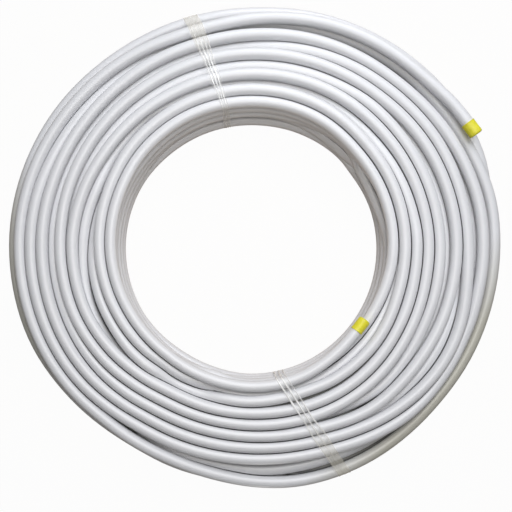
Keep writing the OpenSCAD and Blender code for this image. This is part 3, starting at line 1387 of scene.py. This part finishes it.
    def raised(self, grid: np.ndarray, pleat: np.ndarray) -> np.ndarray:
        """The film's points, lifted outwards into the creases and kept off the floor.

        Args:
            grid: points of the flat film, by line and row.
            pleat: how far each one stands up, from 0 to 1.

        Returns:
            The lifted points.
        """
        ahead = np.roll(grid, -1, 1) - np.roll(grid, 1, 1)
        sideways = np.concatenate([grid[1:], grid[-1:]]) - np.concatenate([grid[:1], grid[:-1]])
        outward = np.cross(ahead, sideways)
        outward /= np.linalg.norm(outward, axis=2, keepdims=True)
        centre = grid.mean(axis=(0, 1))
        inward = (outward * (grid - centre)).sum(axis=2, keepdims=True) < 0.0
        outward = np.where(inward, -outward, outward)
        lifted = grid + outward * pleat[..., None] * self.crease * MM
        lifted[..., 2] = np.maximum(lifted[..., 2], self.floor_gap * MM)
        return lifted

    def build(self, finish: bpy.types.Material) -> bpy.types.Object:
        """Makes the film.

        Args:
            finish: the film's material.

        Returns:
            The strap, riding on the body in place of its CAD node.
        """
        across = np.linspace(-0.5, 0.5, self.columns)
        grid = self.narrowed(across)
        step = np.linalg.norm(np.diff(grid, axis=1), axis=2)
        along = np.concatenate([np.zeros((self.columns, 1)), np.cumsum(step, axis=1)], axis=1)
        pleat = self.pleat(across[:, None], along)
        lifted = self.raised(grid, pleat)
        aside = across * self.widths[-1][1] * MM
        shape = bmesh.new()
        strip_layer = shape.verts.layers.float_vector.new("Strip")
        pleat_layer = shape.verts.layers.float.new("Pleat")
        lines = []
        for i, column in enumerate(lifted):
            line = [shape.verts.new(point) for point in column]
            for j, vertex in enumerate(line):
                vertex[strip_layer] = (along[i, j], aside[i], self.phase)
                vertex[pleat_layer] = pleat[i, j]
            lines.append(line)
        for a, b in zip(lines, lines[1:]):
            for j in range(self.rows):
                k = (j + 1) % self.rows
                shape.faces.new([a[j], a[k], b[k], b[j]])
        return stand_in(smoothed(shape, self.name, finish), self.node_name)


@dataclass(frozen=True)
class Lamp:
    """Square soft lamp that faces the coil: its place in metres, side, watts and colour."""

    name: str
    at: Place
    size: float
    power: float
    colour: Place
    spread: float = 0.3

    def build(self) -> None:
        """Adds the lamp, aimed part of the way from the coil's middle to under itself."""
        light = bpy.data.lights.new(self.name, "AREA")
        light.size = self.size
        light.energy = self.power
        light.color = self.colour
        lamp = placed(self.name, light)
        lamp.location = self.at
        aim = Vector((self.at[0], self.at[1], 0.0)) * self.spread - Vector(self.at)
        lamp.rotation_euler = aim.to_track_quat("-Z", "Y").to_euler()


@dataclass(frozen=True)
class Studio:
    """Pale floor, soft light and a camera straight above the coil."""

    camera_at: Place = (-0.0294, -0.0542, 0.681)
    lens: float = 29.7
    sensor: float = 36.0
    shift: Span = (0.0455, 0.0514)
    nearest: float = 0.01
    floor_size: float = 8.0
    floor_colour: Colour = (0.48, 0.41, 0.34, 1.0)
    floor_rough: float = 0.9
    floor_white: float = 0.97
    sky: Colour = (1.0, 1.0, 0.99, 1.0)
    sky_light: float = 0.1
    lamps: tuple[Lamp, ...] = (
        Lamp("key", (0.28, 1.2, 1.0), size=1.0, power=10.7, colour=(0.98, 0.98, 1.0)),
        Lamp("overhead", (0.15, 0.45, 0.85), size=0.7, power=4.6, colour=(0.91, 0.95, 1.0)),
        Lamp("fill", (0.0, 0.0, 0.65), size=0.4, power=1.65, colour=(1.0, 0.96, 0.90)),
        Lamp("front", (0.1, -1.6, 0.1), size=0.16, power=2.2, colour=(1.0, 0.99, 0.97)),
    )

    def camera(self) -> None:
        """Adds the camera, looking straight down."""
        lens = bpy.data.cameras.new("camera")
        lens.lens = self.lens
        lens.sensor_width = self.sensor
        lens.shift_x, lens.shift_y = self.shift
        lens.clip_start = self.nearest
        viewer = placed("camera", lens)
        viewer.location = self.camera_at
        bpy.context.scene.camera = viewer

    def floor(self) -> None:
        """Adds the floor, which is nearly white to the camera and still takes a faint shadow."""
        half = self.floor_size / 2
        mesh = bpy.data.meshes.new("floor")
        corners = [(-half, -half, 0.0), (half, -half, 0.0), (half, half, 0.0), (-half, half, 0.0)]
        mesh.from_pydata(corners, [], [(0, 1, 2, 3)])
        material, wires = blank_material("pale_floor")
        wires.shade(Base_Color=self.floor_colour, Roughness=self.floor_rough)
        nodes = material.node_tree.nodes
        seen = wires.node("ShaderNodeLightPath").outputs
        either = wires.math("MAXIMUM", seen["Is Camera Ray"], seen["Is Transmission Ray"])
        glow = wires.node("ShaderNodeEmission", Strength=1.0)
        mix = wires.node(
            "ShaderNodeMixShader", wires.math("MULTIPLY", either, self.floor_white),
            nodes["Principled BSDF"].outputs["BSDF"], glow.outputs["Emission"])
        wires.feed(nodes["Material Output"].inputs["Surface"], mix.outputs["Shader"])
        mesh.materials.append(material)
        placed("floor", mesh)

    def world(self) -> None:
        """Sets the even light from all round, with a white background to the camera."""
        world = bpy.data.worlds.new("world")
        world.use_nodes = True
        wires = Wiring(world.node_tree)
        seen = wires.node("ShaderNodeLightPath").outputs["Is Camera Ray"]
        sky = world.node_tree.nodes["Background"].inputs
        wires.feed(sky["Color"], self.sky)
        wires.feed(sky["Strength"], wires.ramp(seen, onto=(self.sky_light, 1.0)))
        bpy.context.scene.world = world

    def build(self) -> None:
        """Sets up the whole studio."""
        bpy.context.scene.view_settings.view_transform = "Standard"
        self.camera()
        self.floor()
        self.world()
        for lamp in self.lamps:
            lamp.build()


def end_caps(settled: dict[str, Course]) -> list[EndCap]:
    """The two caps, each on its end of the pipe.

    Args:
        settled: the courses by their runs' names.

    Returns:
        The caps, the outer one first.
    """
    ends = {"outer": settled["outer_run"].points, "inner": settled["inner_run"].points[::-1]}
    found = []
    for name, points in ends.items():
        heading = points[0] - points[1]
        heading /= np.linalg.norm(heading)
        found.append(EndCap(f"{name}_cap", f"{name}_end_cap", points[0], heading))
    return found


def tape_straps(courses: tuple[Course, ...]) -> list[TapeStrap]:
    """The two straps, each at its own line across the winding.

    Args:
        courses: the centre lines that they are drawn tight over.

    Returns:
        The straps, the rear one first.
    """
    rear = (
        (200.0, 11.0), (222.0, 12.0), (240.0, 16.0), (270.0, 16.0), (295.0, 20.5), (345.0, 21.5))
    front = (
        (190.0, 15.0), (240.0, 16.0), (262.0, 14.5), (290.0, 20.0), (320.0, 17.5), (350.0, 18.0))
    return [
        TapeStrap(
            "rear_strap", "rear_tape_strap", crossing=104.0, skew=6.5, courses=courses,
            widths=rear, phase=0.3),
        TapeStrap(
            "front_strap", "front_tape_strap", crossing=288.5, skew=15.0, courses=courses,
            widths=front, pleats=2.2, phase=1.2),
    ]


def main() -> None:
    """Builds the coil, its caps, its straps and the studio, and reports each piece."""
    logging.basicConfig(level=logging.INFO, format="%(name)s: %(message)s")
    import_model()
    winding = Winding()
    settled = winding.settled()
    courses = tuple(settled.values())
    mottle = MottleGroup()
    # The buried turns get a dark copy of the skin: painted shade where they show in the gaps.
    shaded_skin = PipeFinish(
        "shaded_pipe_skin", light=(0.30, 0.30, 0.29, 1.0), shade=(0.24, 0.24, 0.23, 1.0),
        mark=(0.3, 0.3, 0.3, 1.0))
    skin, shaded_copy = PipeFinish().build(mottle), shaded_skin.build(mottle)
    pieces = PipeCoil(courses, winding.pipe_r).build(SweepTree(), skin, shaded_copy)
    vinyl, film = CapFinish().build(mottle), TapeFinish().build(mottle)
    pieces += [cap.build(vinyl) for cap in end_caps(settled)]
    pieces += [strap.build(film) for strap in tape_straps(courses)]
    for piece in pieces:
        LOG.info("%s: %d faces", piece.name, len(piece.data.polygons))
    Studio().build()


if __name__ == "__main__":
    main()
